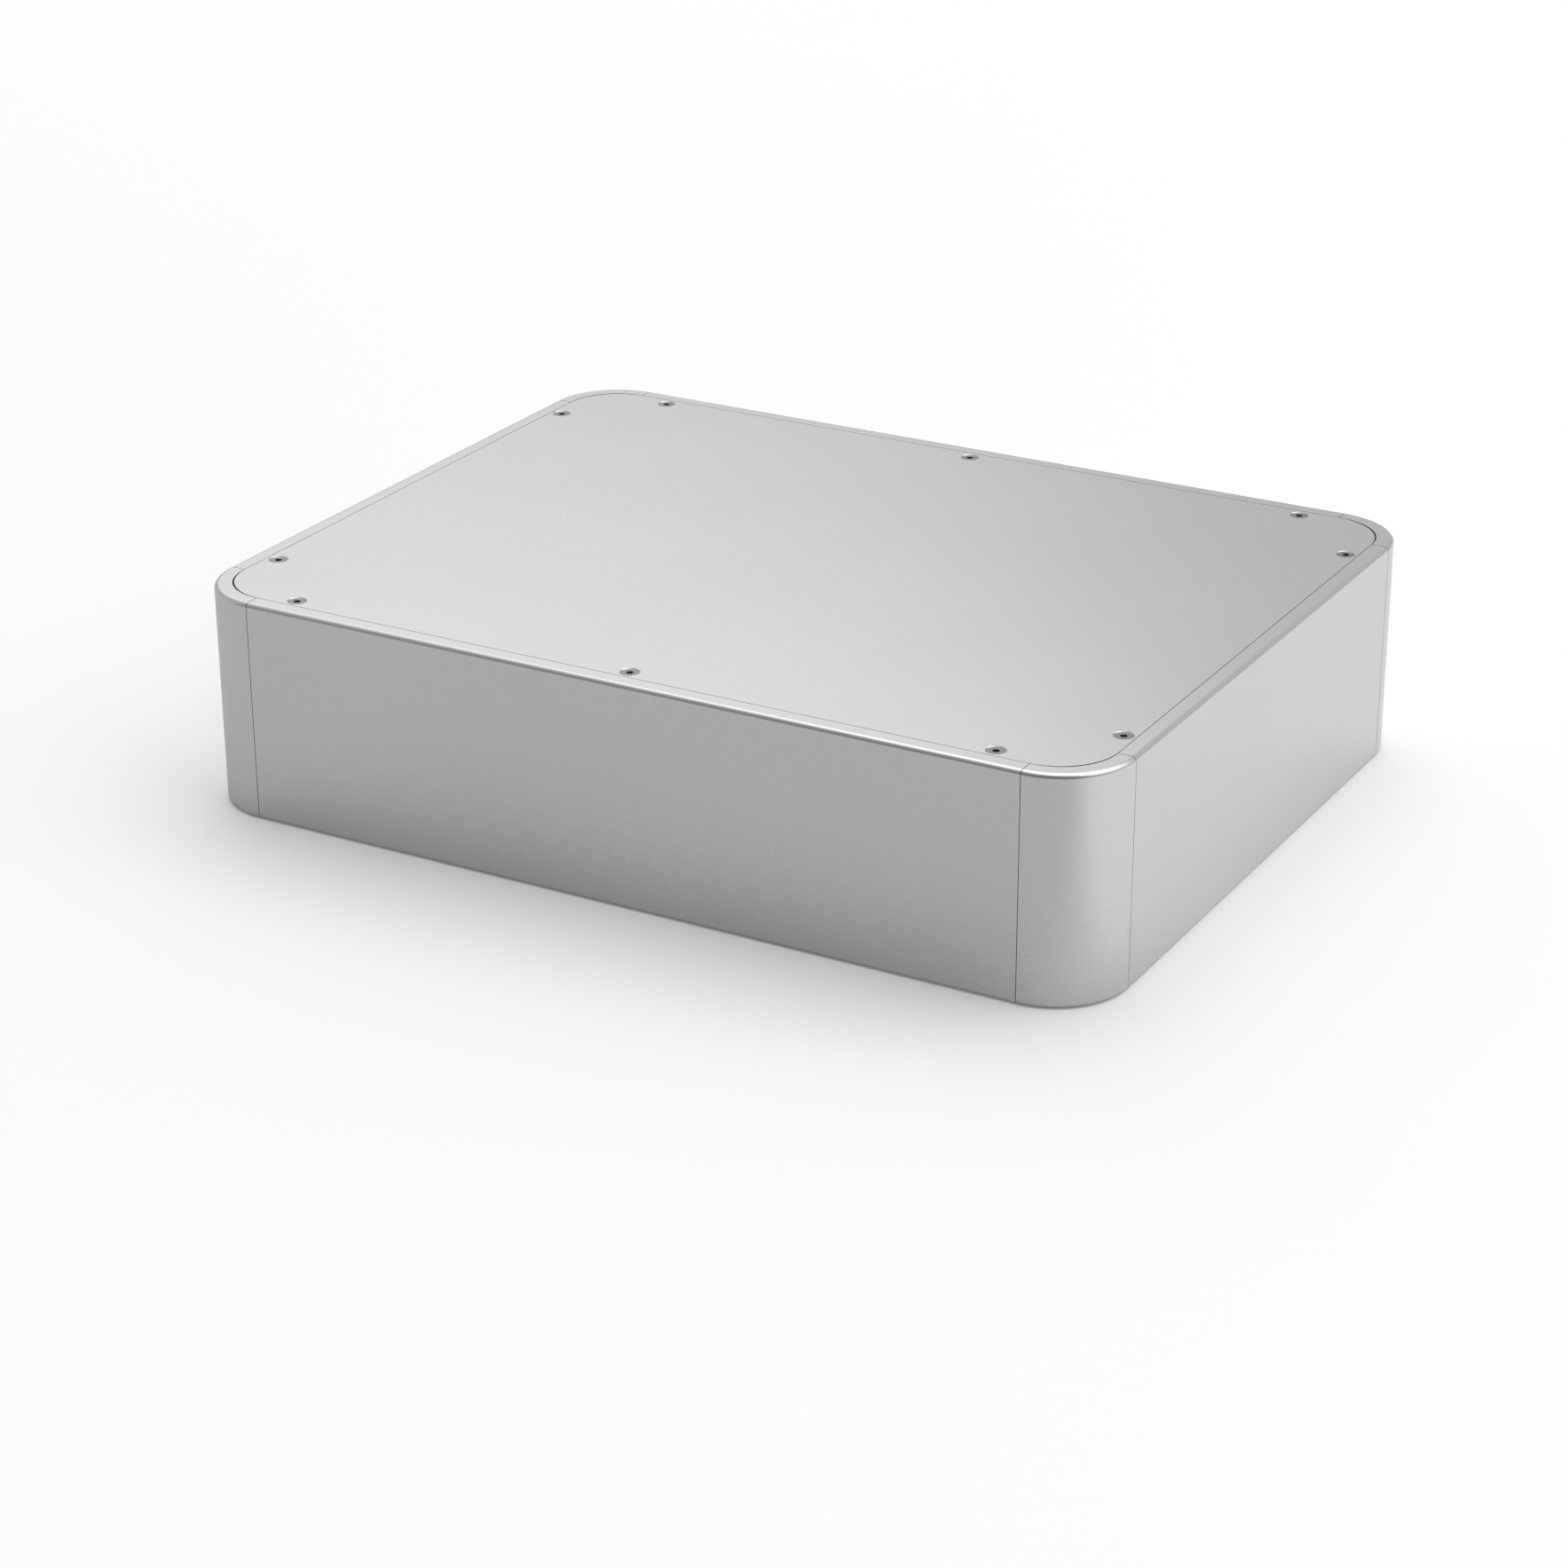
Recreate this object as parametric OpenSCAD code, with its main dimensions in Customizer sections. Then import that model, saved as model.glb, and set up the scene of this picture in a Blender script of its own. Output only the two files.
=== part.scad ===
// Desktop equipment case of extruded aluminium.
// Four side panels of one extruded section butt against four quarter-round corner posts.
// Curved brackets, hidden under the covers, slide into the panels' channels and screw down on the posts.
// A flush cover closes the top and another the bottom, each held by countersunk screws.
// Millimetres. The origin is the centre of the underside, +X is the right side, +Y the rear, +Z up.

/* [Case] */
// Outside width, left to right
case_w = 300; // [220:1:420]
// Outside depth, front to rear
case_d = 230; // [160:1:320]
// Outside height
case_h = 69.4; // [56:0.1:120]
// Outside radius of the upright corners
corner_r = 23; // [20:0.5:30]
// Radius along the outer top and bottom edges
edge_r = 1.5; // [0.5:0.1:2.5]
// Width of the rim that frames each cover
rim_t = 5.4; // [4.8:0.1:6.4]
// Gap at each joint between a panel and a post
joint_gap = 0.2; // [0.1:0.05:0.4]

/* [Covers] */
// Thickness of a cover
cover_t = 3; // [2:0.1:4]
// Gap between a cover and the rim along the straight sides
cover_gap = 0.2; // [0.1:0.05:0.4]
// Extra radius on a cover's corners, which opens the gap there
corner_relief = 0.8; // [0:0.1:1.5]

/* [Panel section] */
// Thickness of the wall between the two edge beams
wall_t = 3; // [2.4:0.1:3.6]
// Thickness of the ledge that a cover seats on
ledge_t = 3; // [2:0.1:4]
// Thickness of the rib under the bracket channel
channel_floor_t = 1.8; // [1.2:0.1:2.5]
// Thickness of the lip that keeps a bracket in its channel
lip_t = 1.4; // [1:0.1:2]
// Height of that lip
lip_h = 1.2; // [0.6:0.1:1.8]
// Chamfer where the beam meets the wall
root_chamfer = 1; // [0.5:0.1:1.5]
// Height of the card groove above the case's edge
groove_z = 20; // [17:0.5:22]
// Width of the card groove
groove_w = 1.8; // [1.6:0.1:2.2]
// Thickness of the two ribs beside the groove
groove_rib_t = 1.5; // [1:0.1:2]
// Depth of the card groove
groove_depth = 2.4; // [1.5:0.1:3.5]

/* [Corner posts] */
// Length of the tongue that laps behind a panel's wall
lap_l = 8; // [4:0.5:9]
// Outside diameter of the screw port
port_d = 6.4; // [5.6:0.1:7]
// Width of the web that carries the port
port_web_t = 3; // [2:0.1:4]
// Width of the port's open slit
port_slit = 1; // [0.6:0.1:1.4]

/* [Brackets and nuts] */
// Thickness of a bracket or nut
bracket_t = 3; // [2.5:0.1:4]
// Width of a bracket or nut
bracket_w = 7.5; // [7:0.1:9]
// Length of a bracket's straight leg past the joint
leg_l = 18; // [17:0.5:24]
// Chamfer on the ends of the legs and nuts
leg_chamfer = 1; // [0.5:0.1:1.5]
// Length of a slide nut
nut_l = 11; // [8:0.5:16]

/* [Screws] */
// Nominal diameter of every screw
screw_d = 3; // [2.5:0.1:3.2]
// Diameter of a clearance hole
clear_d = 3.4; // [3.3:0.1:3.6]
// Distance from a joint to the nearest cover screw
screw_setback = 12; // [10:0.5:13]
// Diameter of a countersunk head
head_d = 5.5; // [5.2:0.1:5.6]
// Diameter of a countersink at the cover's face
sink_d = 6; // [5.8:0.1:6.4]
// How far a cover screw's tip stays above the bracket's far face
tip_short = 0.8; // [0.4:0.1:1.2]
// Hexagon socket across its flats
socket_af = 2; // [1.5:0.1:2.2]
// Depth of the hexagon socket
socket_depth = 1.1; // [0.8:0.1:1.3]
// Diameter of a bracket screw's button head
button_d = 5.7; // [5.2:0.1:6]
// Height of a bracket screw's button head
button_h = 1.65; // [1.4:0.05:1.8]
// Length of a bracket screw under its head
bracket_screw_l = 10; // [8:1:16]

/* [Fits] */
// Clearance between a tongue and the panel around it
lap_gap = 0.15; // [0.1:0.05:0.3]
// Clearance beside a bracket or nut in its channel
side_gap = 0.15; // [0.1:0.05:0.3]
// Clearance under a bracket or nut in its channel
under_gap = 0.2; // [0.1:0.05:0.4]
// Radial clearance of a thread in its tapped hole
thread_gap = 0.05; // [0.03:0.01:0.1]
// Clearance of a countersunk head in its cone
cone_gap = 0.05; // [0.03:0.01:0.1]

/* [Hidden] */
$fn = 72;
SILVER = [0.80, 0.81, 0.82];
ZINC = [0.66, 0.67, 0.68];
STEEL = [0.55, 0.56, 0.57];

// Overlap that makes a cut or a join positive
bite = 0.5;

// Heights, measured down from the case's top edge and up from its bottom edge alike
ledge_z = cover_t;
bracket_z = ledge_z + ledge_t;
bracket_far_z = bracket_z + bracket_t;
floor_z = bracket_far_z + under_gap;
beam_h = floor_z + channel_floor_t;

// Distances in from the outer face
bracket_in = rim_t + side_gap;
screw_in = bracket_in + bracket_w / 2;
lip_in = bracket_in + bracket_w + side_gap;
ledge_in = lip_in + lip_t;

// The corner arcs' centres, which are also where the panels' joints lie
arc_x = case_w / 2 - corner_r;
arc_y = case_d / 2 - corner_r;
front_screws_x = [-(arc_x - screw_setback), 0, arc_x - screw_setback];
side_screws_y = [-(arc_y - screw_setback), arc_y - screw_setback];

tapped_d = screw_d + 2 * thread_gap;
rim_inner_r = corner_r - rim_t;
cover_r = rim_inner_r - cover_gap + corner_relief;
head_sink = (sink_d - head_d) / 2 - cone_gap;
cone_h = (head_d - screw_d) / 2;
port_r = corner_r - screw_in;

// Shared placing

// Turns what is built at the top of the case over to its bottom
module at_bottom() {
    translate([0, 0, case_h]) mirror([0, 0, 1]) children();
}

// Puts what is built round the corner arc's centre, in its +X +Y quarter, at one of the four corners
module at_corner(x_side, y_side) {
    turn = x_side > 0 ? (y_side > 0 ? 0 : 270) : (y_side > 0 ? 90 : 180);
    translate([x_side * arc_x, y_side * arc_y, 0]) rotate(turn) children();
}

// Puts what is built on the inside of a panel that runs along X at Y = 0 on one of the four sides
module at_front() { translate([0, -case_d / 2, 0]) children(); }
module at_rear() { translate([0, case_d / 2, 0]) rotate(180) children(); }
module at_left() { translate([-case_w / 2, 0, 0]) rotate(270) children(); }
module at_right() { translate([case_w / 2, 0, 0]) rotate(90) children(); }

// Places of the cover screws
module each_cover_screw() {
    for (x = front_screws_x) {
        translate([x, -(case_d / 2 - screw_in), 0]) children();
        translate([x, case_d / 2 - screw_in, 0]) children();
    }
    for (y = side_screws_y) {
        translate([-(case_w / 2 - screw_in), y, 0]) children();
        translate([case_w / 2 - screw_in, y, 0]) children();
    }
}

// Covers

module rounded_plate(w, d, r, t) {
    linear_extrude(t) difference() {
        square([w, d], center = true);
        for (sx = [-1, 1], sy = [-1, 1])
            translate([sx * (w / 2 - r), sy * (d / 2 - r)])
                rotate(sx > 0 ? (sy > 0 ? 0 : 270) : (sy > 0 ? 90 : 180))
                    corner_waste(r);
    }
}

// What a round of radius r takes off a square corner, with the round's centre at the origin
module corner_waste(r) {
    difference() {
        square(r + bite);
        circle(r);
    }
}

module cover() {
    w = case_w - 2 * (rim_t + cover_gap);
    d = case_d - 2 * (rim_t + cover_gap);
    cone_depth = (sink_d - clear_d) / 2;
    difference() {
        translate([0, 0, case_h - cover_t]) rounded_plate(w, d, cover_r, cover_t);
        each_cover_screw() {
            translate([0, 0, case_h - cover_t - bite]) cylinder(d = clear_d, h = cover_t + 2 * bite);
            translate([0, 0, case_h - cone_depth])
                cylinder(d1 = clear_d, d2 = sink_d + 2 * bite, h = cone_depth + bite);
        }
    }
}

module top_cover() { color(SILVER) cover(); }
module bottom_cover() { color(SILVER) at_bottom() cover(); }

// Side panels

// Half of the extruded section: first number in from the outer face, second up from the bottom edge
half_section = [
    [0, 0], [rim_t, 0], [rim_t, ledge_z], [ledge_in, ledge_z],
    [ledge_in, bracket_z], [rim_t, bracket_z], [rim_t, floor_z], [lip_in, floor_z],
    [lip_in, floor_z - lip_h], [ledge_in, floor_z - lip_h], [ledge_in, beam_h],
    [wall_t + root_chamfer, beam_h], [wall_t, beam_h + root_chamfer]
];

module panel_section() {
    turned_over = [
        for (i = [len(half_section) - 1 : -1 : 0]) [half_section[i][0], case_h - half_section[i][1]]
    ];
    difference() {
        polygon(concat(half_section, turned_over));
        translate([edge_r, edge_r]) rotate(180) corner_waste(edge_r);
        translate([edge_r, case_h - edge_r]) rotate(90) corner_waste(edge_r);
    }
}

module groove_ribs_section() {
    pitch = groove_w + groove_rib_t;
    for (z = [groove_z, case_h - groove_z], side = [-1, 1])
        translate([wall_t - bite, z + side * pitch / 2 - groove_rib_t / 2])
            square([groove_depth + bite, groove_rib_t]);
}

// Extrudes a section along X, centred, with the outer face at Y = 0
module extruded(length) {
    translate([-length / 2, 0, 0]) rotate([90, 0, 90]) linear_extrude(length) children();
}

module side_panel(length, screws) {
    ribs_l = length - 2 * (lap_l + lap_gap);
    difference() {
        union() {
            extruded(length) panel_section();
            extruded(ribs_l) groove_ribs_section();
        }
        for (x = screws, z = [ledge_z - bite, case_h - bracket_z - bite])
            translate([x, screw_in, z]) cylinder(d = clear_d, h = ledge_t + 2 * bite);
    }
}

module long_panel() { side_panel(2 * (arc_x - joint_gap), front_screws_x); }
module short_panel() { side_panel(2 * (arc_y - joint_gap), side_screws_y); }

module front_panel() { color(SILVER) at_front() long_panel(); }
module rear_panel() { color(SILVER) at_rear() long_panel(); }
module left_panel() { color(SILVER) at_left() short_panel(); }
module right_panel() { color(SILVER) at_right() short_panel(); }

// Corner posts

module post_ring() {
    rotate_extrude(angle = 90) difference() {
        translate([rim_inner_r, 0]) square([rim_t, case_h]);
        translate([corner_r - edge_r, edge_r]) rotate(270) corner_waste(edge_r);
        translate([corner_r - edge_r, case_h - edge_r]) corner_waste(edge_r);
    }
}

// The two tongues that lap behind the walls of the panels beside the post
module post_tongues() {
    t = rim_t - wall_t - 2 * lap_gap;
    z = beam_h + root_chamfer + lap_gap;
    translate([rim_inner_r + lap_gap, -lap_l, z]) cube([t, lap_l + bite, case_h - 2 * z]);
    translate([-lap_l, rim_inner_r + lap_gap, z]) cube([lap_l + bite, t, case_h - 2 * z]);
}

// The open screw port on its web, cut back at both ends for the brackets
module post_port() {
    translate([0, 0, bracket_far_z]) linear_extrude(case_h - 2 * bracket_far_z) rotate(45) difference() {
        union() {
            translate([port_r, 0]) circle(d = port_d);
            translate([port_r, -port_web_t / 2]) square([rim_inner_r - port_r + bite, port_web_t]);
        }
        translate([port_r, 0]) circle(d = tapped_d);
        translate([port_r - port_d, -port_slit / 2]) square([port_d, port_slit]);
    }
}

module corner_post() {
    union() {
        post_ring();
        post_tongues();
        post_port();
    }
}

module front_left_post() { color(SILVER) at_corner(-1, -1) corner_post(); }
module front_right_post() { color(SILVER) at_corner(1, -1) corner_post(); }
module rear_left_post() { color(SILVER) at_corner(-1, 1) corner_post(); }
module rear_right_post() { color(SILVER) at_corner(1, 1) corner_post(); }

// Brackets that tie each post to the panels beside it

// A square that reaches out to r on two sides, where its corner is rounded, and back to the other two
module rounded_corner(r, back) {
    difference() {
        translate([-back, -back]) square(back + r);
        corner_waste(r);
    }
}

// A quarter turn with a straight leg at each end
module bracket_outline() {
    r_out = corner_r - bracket_in;
    r_in = r_out - bracket_w;
    difference() {
        rounded_corner(r_out, leg_l);
        rounded_corner(r_in, leg_l + bite);
        for (x = [r_in, r_out]) {
            translate([x, -leg_l]) rotate(45) square(leg_chamfer * sqrt(2), center = true);
            translate([-leg_l, x]) rotate(45) square(leg_chamfer * sqrt(2), center = true);
        }
    }
}

module bracket() {
    difference() {
        translate([0, 0, case_h - bracket_far_z]) linear_extrude(bracket_t) bracket_outline();
        translate([0, 0, case_h - bracket_far_z - bite]) {
            rotate(45) translate([port_r, 0]) cylinder(d = clear_d, h = bracket_t + 2 * bite);
            translate([port_r, -screw_setback]) cylinder(d = tapped_d, h = bracket_t + 2 * bite);
            translate([-screw_setback, port_r]) cylinder(d = tapped_d, h = bracket_t + 2 * bite);
        }
    }
}

module upper_front_left_bracket() { color(ZINC) at_corner(-1, -1) bracket(); }
module upper_front_right_bracket() { color(ZINC) at_corner(1, -1) bracket(); }
module upper_rear_left_bracket() { color(ZINC) at_corner(-1, 1) bracket(); }
module upper_rear_right_bracket() { color(ZINC) at_corner(1, 1) bracket(); }
module lower_front_left_bracket() { color(ZINC) at_bottom() at_corner(-1, -1) bracket(); }
module lower_front_right_bracket() { color(ZINC) at_bottom() at_corner(1, -1) bracket(); }
module lower_rear_left_bracket() { color(ZINC) at_bottom() at_corner(-1, 1) bracket(); }
module lower_rear_right_bracket() { color(ZINC) at_bottom() at_corner(1, 1) bracket(); }

// Slide nuts for the middle screws of the front and rear panels

module slide_nut() {
    x = nut_l / 2;
    translate([0, bracket_in, case_h - bracket_far_z]) difference() {
        linear_extrude(bracket_t) polygon([
            [-x, leg_chamfer], [-x + leg_chamfer, 0], [x - leg_chamfer, 0], [x, leg_chamfer],
            [x, bracket_w - leg_chamfer], [x - leg_chamfer, bracket_w], [-x + leg_chamfer, bracket_w],
            [-x, bracket_w - leg_chamfer]
        ]);
        translate([0, bracket_w / 2, -bite]) cylinder(d = tapped_d, h = bracket_t + 2 * bite);
    }
}

module slide_nuts() {
    at_front() slide_nut();
    at_rear() slide_nut();
}

module upper_slide_nuts() { color(ZINC) slide_nuts(); }
module lower_slide_nuts() { color(ZINC) at_bottom() slide_nuts(); }

// Screws, each with its head at the top

module socket(top_z) {
    translate([0, 0, top_z - socket_depth])
        rotate(30) cylinder(d = socket_af / cos(30), h = socket_depth + bite, $fn = 6);
}

module cover_screw() {
    top_z = case_h - head_sink;
    tip_z = case_h - bracket_far_z + tip_short;
    tip_chamfer = screw_d / 6;
    difference() {
        rotate_extrude() polygon([
            [0, tip_z], [screw_d / 2 - tip_chamfer, tip_z], [screw_d / 2, tip_z + tip_chamfer],
            [screw_d / 2, top_z - cone_h], [head_d / 2, top_z], [0, top_z]
        ]);
        socket(top_z);
    }
}

module bracket_screw() {
    seat_z = case_h - bracket_z;
    tip_z = seat_z - bracket_screw_l;
    tip_chamfer = screw_d / 6;
    crown_r = button_d / 3;
    difference() {
        rotate_extrude() polygon([
            [0, tip_z], [screw_d / 2 - tip_chamfer, tip_z], [screw_d / 2, tip_z + tip_chamfer],
            [screw_d / 2, seat_z], [button_d / 2, seat_z], [button_d / 2, seat_z + button_h / 3],
            [crown_r, seat_z + button_h], [0, seat_z + button_h]
        ]);
        socket(seat_z + button_h);
    }
}

module cover_screws() { each_cover_screw() cover_screw(); }

module bracket_screws() {
    for (x_side = [-1, 1], y_side = [-1, 1])
        at_corner(x_side, y_side) rotate(45) translate([port_r, 0]) bracket_screw();
}

module upper_bracket_screws() { color(STEEL) bracket_screws(); }
module lower_bracket_screws() { color(STEEL) at_bottom() bracket_screws(); }
module top_cover_screws() { color(STEEL) cover_screws(); }
module bottom_cover_screws() { color(STEEL) at_bottom() cover_screws(); }

top_cover();
bottom_cover();
front_panel();
rear_panel();
left_panel();
right_panel();
front_left_post();
front_right_post();
rear_left_post();
rear_right_post();
upper_front_left_bracket();
upper_front_right_bracket();
upper_rear_left_bracket();
upper_rear_right_bracket();
lower_front_left_bracket();
lower_front_right_bracket();
lower_rear_left_bracket();
lower_rear_right_bracket();
upper_slide_nuts();
lower_slide_nuts();
upper_bracket_screws();
lower_bracket_screws();
top_cover_screws();
bottom_cover_screws();
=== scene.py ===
import math

import bpy
from mathutils import Matrix, Vector


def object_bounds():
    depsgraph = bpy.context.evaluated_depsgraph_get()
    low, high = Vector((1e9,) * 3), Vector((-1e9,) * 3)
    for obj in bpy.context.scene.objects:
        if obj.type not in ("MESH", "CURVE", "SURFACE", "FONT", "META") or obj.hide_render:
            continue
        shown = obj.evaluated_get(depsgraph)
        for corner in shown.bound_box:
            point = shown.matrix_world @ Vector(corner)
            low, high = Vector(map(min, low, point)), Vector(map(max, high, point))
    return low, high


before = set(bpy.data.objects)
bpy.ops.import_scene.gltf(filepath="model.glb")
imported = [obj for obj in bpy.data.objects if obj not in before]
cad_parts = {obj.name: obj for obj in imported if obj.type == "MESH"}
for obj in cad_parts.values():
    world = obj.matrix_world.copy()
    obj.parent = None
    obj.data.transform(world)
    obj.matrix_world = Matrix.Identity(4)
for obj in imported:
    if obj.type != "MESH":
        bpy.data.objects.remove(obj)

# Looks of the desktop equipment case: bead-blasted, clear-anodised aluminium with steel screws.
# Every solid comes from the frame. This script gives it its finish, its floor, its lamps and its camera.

cad_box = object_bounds()
scene = bpy.context.scene

# Sizes, in metres, from the frame
case_low, case_high = cad_box
case_w = case_high.x - case_low.x
case_centre = (case_low + case_high) / 2


# Camera: where it stands in case widths, and how it is turned

EYE = Vector((1.7686, -3.1844, 1.5883)) * case_w
YAW = math.radians(29.51)
PITCH = math.radians(23.82)
ROLL = math.radians(-0.238)
SENSOR_MM = 36
LENS_MM = 88.12


def set_camera():
    data = bpy.data.cameras.new("camera")
    data.sensor_width = SENSOR_MM
    data.lens = LENS_MM
    camera = bpy.data.objects.new("camera", data)
    scene.collection.objects.link(camera)
    turn = Matrix.Rotation(YAW, 4, "Z") @ Matrix.Rotation(math.pi / 2 - PITCH, 4, "X")
    camera.matrix_world = Matrix.Translation(EYE) @ turn @ Matrix.Rotation(ROLL, 4, "Z")
    scene.camera = camera


# Node helpers

# Places of a mix node's colour sockets, which share their names with its number and vector sockets
COLOUR_A = 6
COLOUR_B = 7
COLOUR_RESULT = 2


def new_material(name):
    material = bpy.data.materials.new(name)
    material.use_nodes = True
    tree = material.node_tree
    return material, tree, tree.nodes["Principled BSDF"]


def add(tree, kind, **values):
    node = tree.nodes.new(kind)
    for key, value in values.items():
        setattr(node, key, value)
    return node


def noise(tree, grain, detail=2.0):
    """Noise in object space, whose features are about grain metres across"""
    place = add(tree, "ShaderNodeTexCoord")
    texture = add(tree, "ShaderNodeTexNoise")
    texture.inputs["Scale"].default_value = 1 / grain
    texture.inputs["Detail"].default_value = detail
    tree.links.new(place.outputs["Object"], texture.inputs["Vector"])
    return texture.outputs["Fac"]


def map_range(tree, source, start, end, low, high, interpolation="LINEAR"):
    """Turns start into low and end into high, and stays there beyond them"""
    ramp = add(tree, "ShaderNodeMapRange", interpolation_type=interpolation)
    ramp.inputs["From Min"].default_value = start
    ramp.inputs["From Max"].default_value = end
    ramp.inputs["To Min"].default_value = low
    ramp.inputs["To Max"].default_value = high
    tree.links.new(source, ramp.inputs["Value"])
    return ramp.outputs["Result"]


def smooth_step(tree, source, start, end, low, high):
    """The same, easing in and out"""
    return map_range(tree, source, start, end, low, high, "SMOOTHSTEP")


def blend_colours(tree, factor, a, b):
    """Colour a where factor is 0 and b where it is 1"""
    mix = add(tree, "ShaderNodeMix", data_type="RGBA")
    mix.inputs[COLOUR_A].default_value = (*a, 1)
    mix.inputs[COLOUR_B].default_value = (*b, 1)
    tree.links.new(factor, mix.inputs["Factor"])
    return mix.outputs[COLOUR_RESULT]


def blend_values(tree, factor, a, b):
    """a where factor is 0 and b where it is 1, each of them a number or a socket"""
    mix = add(tree, "ShaderNodeMix", data_type="FLOAT")
    tree.links.new(factor, mix.inputs["Factor"])
    for value, socket in ((a, mix.inputs["A"]), (b, mix.inputs["B"])):
        if isinstance(value, float):
            socket.default_value = value
        else:
            tree.links.new(value, socket)
    return mix.outputs["Result"]


def largest(tree, sources):
    """The largest of the sources at each place"""
    value = sources[0]
    for source in sources[1:]:
        step = add(tree, "ShaderNodeMath", operation="MAXIMUM")
        tree.links.new(value, step.inputs[0])
        tree.links.new(source, step.inputs[1])
        value = step.outputs["Value"]
    return value


# Finishes

# A noise texture lies mostly between these two values
NOISE_LOW = 0.3
NOISE_HIGH = 0.7
FINE_DETAIL = 3.0
BUMP_STRENGTH = 0.25


def metal(name, dark, light, smooth, rough, grain, cloud, relief):
    """A metal whose colour clouds slowly from dark to light, with a fine grain in its roughness and surface.

    The grain and the clouds are that many metres across, and the grain is relief metres deep.
    """
    material, tree, shader = new_material(name)
    shader.inputs["Metallic"].default_value = 1.0
    tree.links.new(blend_colours(tree, noise(tree, cloud), dark, light), shader.inputs["Base Color"])
    fine = noise(tree, grain, FINE_DETAIL)
    roughness = map_range(tree, fine, NOISE_LOW, NOISE_HIGH, smooth, rough)
    tree.links.new(roughness, shader.inputs["Roughness"])
    bump = add(tree, "ShaderNodeBump")
    bump.inputs["Strength"].default_value = BUMP_STRENGTH
    bump.inputs["Distance"].default_value = relief
    tree.links.new(fine, bump.inputs["Height"])
    tree.links.new(bump.outputs["Normal"], shader.inputs["Normal"])
    return material


def make_finishes():
    """The material of each CAD slot"""
    anodised = metal("anodised", dark=(0.70, 0.70, 0.70), light=(0.74, 0.74, 0.74),
                     smooth=0.25, rough=0.29, grain=0.00025, cloud=0.06, relief=0.000005)
    zinc = metal("zinc", dark=(0.52, 0.52, 0.54), light=(0.60, 0.60, 0.61),
                 smooth=0.30, rough=0.45, grain=0.0004, cloud=0.008, relief=0.00003)
    steel = metal("steel", dark=(0.28, 0.28, 0.29), light=(0.34, 0.34, 0.35),
                  smooth=0.28, rough=0.36, grain=0.0003, cloud=0.004, relief=0.00002)
    return {"covers": anodised, "panels": anodised, "posts": anodised, "brackets": zinc, "screws": steel}


def dress(materials):
    """Gives each CAD node the material of its own slot"""
    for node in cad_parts.values():
        for place in node.material_slots:
            place.material = materials[place.material.name]


# Floor, where a tone or level of 1 is white

FLOOR_SIZE = 40 * case_w
FLOOR_DROP = 0.0002
FLOOR_ROUGHNESS = 0.9
FLOOR_TINT = (1.0, 0.981, 0.966)
FLOOR_TONE = 1.0
# Level that camera, glossy and transmission rays see above what the floor sends back
FLOOR_LIFT = 0.09
# Painted reflection and shade: tones the floor shows only in reflections. They are darker than its own tone,
# and darker in front of the case than behind it, so the case's front faces mirror painted shade. They change
# along +X, turned, within this reach of the case's middle.
PAINTED_REFLECTION_FRONT = 0.54
PAINTED_REFLECTION_REAR = 0.84
PAINTED_REFLECTION_TURN = math.radians(-55)
PAINTED_REFLECTION_REACH = 0.2167 * case_w


def painted_reflection_tone(tree):
    """Painted reflection: the floor's tone in reflections only, paler behind the case than in front, so the
    case's front faces mirror painted shade
    """
    place = add(tree, "ShaderNodeTexCoord")
    turned = add(tree, "ShaderNodeMapping")
    turned.inputs["Rotation"].default_value = (0, 0, PAINTED_REFLECTION_TURN)
    tree.links.new(place.outputs["Object"], turned.inputs["Vector"])
    axes = add(tree, "ShaderNodeSeparateXYZ")
    tree.links.new(turned.outputs["Vector"], axes.inputs["Vector"])
    along = axes.outputs["X"]
    # Painted shade in reflections: darker towards the front of the case, paler behind it
    return smooth_step(tree, along, -PAINTED_REFLECTION_REACH, PAINTED_REFLECTION_REACH, PAINTED_REFLECTION_FRONT, PAINTED_REFLECTION_REAR)


def floor_material():
    """A pale floor that keeps the case's shadow. In reflections it shows a painted tone, darker in front of
    the case than behind it.
    """
    material, tree, shader = new_material("floor")
    shader.inputs["Roughness"].default_value = FLOOR_ROUGHNESS
    shader.inputs["Specular IOR Level"].default_value = 0.0
    path = add(tree, "ShaderNodeLightPath")
    # Painted reflection: glossy rays see the painted reflection tone in place of the floor's own tone, which
    # paints shade on the case's front faces
    tone = blend_values(tree, path.outputs["Is Glossy Ray"], FLOOR_TONE, painted_reflection_tone(tree))
    colour = add(tree, "ShaderNodeVectorMath", operation="SCALE")
    colour.inputs[0].default_value = FLOOR_TINT
    tree.links.new(tone, colour.inputs["Scale"])
    tree.links.new(colour.outputs["Vector"], shader.inputs["Base Color"])
    shader.inputs["Emission Color"].default_value = (1, 1, 1, 1)
    rays = ("Is Camera Ray", "Is Glossy Ray", "Is Transmission Ray")
    seen = largest(tree, [path.outputs[ray] for ray in rays])
    tree.links.new(blend_values(tree, seen, 0.0, FLOOR_LIFT), shader.inputs["Emission Strength"])
    return material


def make_floor():
    half = FLOOR_SIZE / 2
    corners = [(-half, -half, 0), (half, -half, 0), (half, half, 0), (-half, half, 0)]
    data = bpy.data.meshes.new("floor")
    data.from_pydata(corners, [], [(0, 1, 2, 3)])
    floor = bpy.data.objects.new("floor", data)
    floor.location.z = case_low.z - FLOOR_DROP
    scene.collection.objects.link(floor)
    data.materials.append(floor_material())


# World and lamps, with the same white. Directions are an azimuth and an elevation, in degrees.

LIGHT_TINT = (0.966, 0.985, 1.0)
# The walls go from dark to pale over this span of the dot product with this direction
WALLS_FACE = (108, 0)
WALLS_SPAN = (-1.0, 0.19)
DARK_SIDE = 0.17
PALE_SIDE = 0.55
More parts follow.
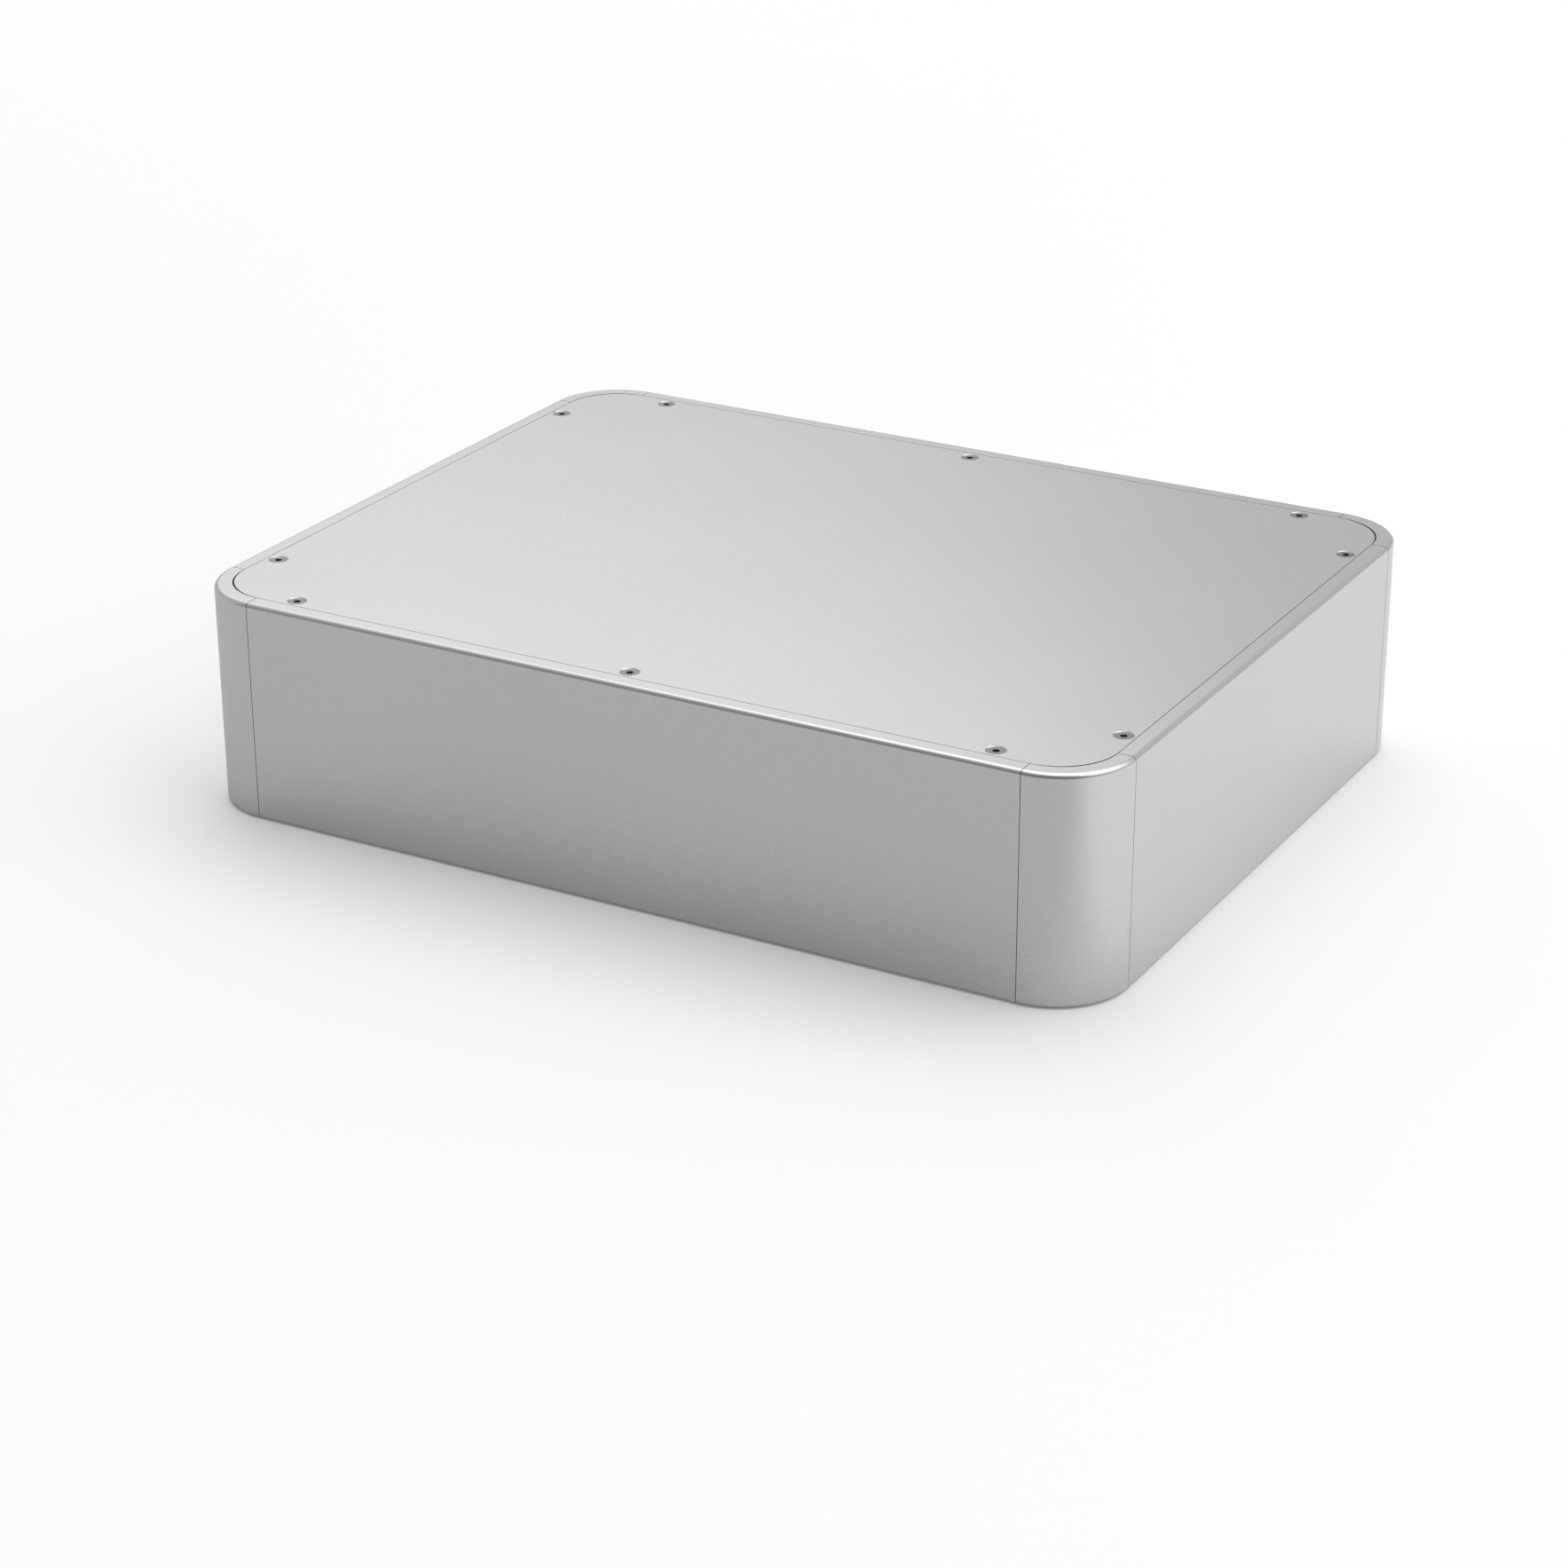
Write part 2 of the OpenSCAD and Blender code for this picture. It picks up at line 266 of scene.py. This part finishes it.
# The ceiling comes in over this span of the dot product with this direction
CEILING_FACE = (90, 78)
CEILING_SPAN = (0.79, 0.94)
CEILING = 1.84
LAMP_DISTANCE = 2.5


def direction(azimuth, elevation):
    """A unit vector: azimuth in degrees from +X towards +Y, elevation above the floor"""
    a, e = math.radians(azimuth), math.radians(elevation)
    return Vector((math.cos(a) * math.cos(e), math.sin(a) * math.cos(e), math.sin(e)))


def towards(tree, azimuth, elevation):
    """1 where a ray goes in this direction, 0 at right angles to it, -1 where it goes the other way"""
    place = add(tree, "ShaderNodeTexCoord")
    dot = add(tree, "ShaderNodeVectorMath", operation="DOT_PRODUCT")
    dot.inputs[1].default_value = direction(azimuth, elevation)
    tree.links.new(place.outputs["Generated"], dot.inputs[0])
    return dot.outputs["Value"]


def make_world():
    """Plain studio walls, dark in front of the case and pale behind it, under a bright ceiling"""
    world = bpy.data.worlds.new("studio")
    world.use_nodes = True
    scene.world = world
    tree = world.node_tree
    walls = smooth_step(tree, towards(tree, *WALLS_FACE), *WALLS_SPAN, DARK_SIDE, PALE_SIDE)
    overhead = smooth_step(tree, towards(tree, *CEILING_FACE), *CEILING_SPAN, 0, 1)
    background = tree.nodes["Background"]
    background.inputs["Color"].default_value = (*LIGHT_TINT, 1)
    tree.links.new(blend_values(tree, overhead, walls, CEILING), background.inputs["Strength"])


def lamp(name, azimuth, elevation, half_width, half_height, level):
    """A soft box turned to the case, round where its two halves are alike.

    As seen from the case, it reaches half_width and half_height degrees from its middle.
    """
    data = bpy.data.lights.new(name, "AREA")
    data.shape = "ELLIPSE" if half_width == half_height else "RECTANGLE"
    data.size = 2 * LAMP_DISTANCE * math.tan(math.radians(half_width))
    data.size_y = 2 * LAMP_DISTANCE * math.tan(math.radians(half_height))
    area = data.size * data.size_y * (math.pi / 4 if data.shape == "ELLIPSE" else 1)
    data.energy = math.pi * area * level
    data.color = LIGHT_TINT
    light = bpy.data.objects.new(name, data)
    light.location = case_centre + direction(azimuth, elevation) * LAMP_DISTANCE
    light.rotation_euler = (case_centre - light.location).to_track_quat("-Z", "Y").to_euler()
    scene.collection.objects.link(light)


def make_lamps():
    lamp("right_box", azimuth=14, elevation=43, half_width=30, half_height=20, level=0.79)
    lamp("rear_left_box", azimuth=131, elevation=38, half_width=20, half_height=20, level=0.55)


set_camera()
dress(make_finishes())
make_floor()
make_world()
make_lamps()
scene.view_settings.view_transform = "Standard"
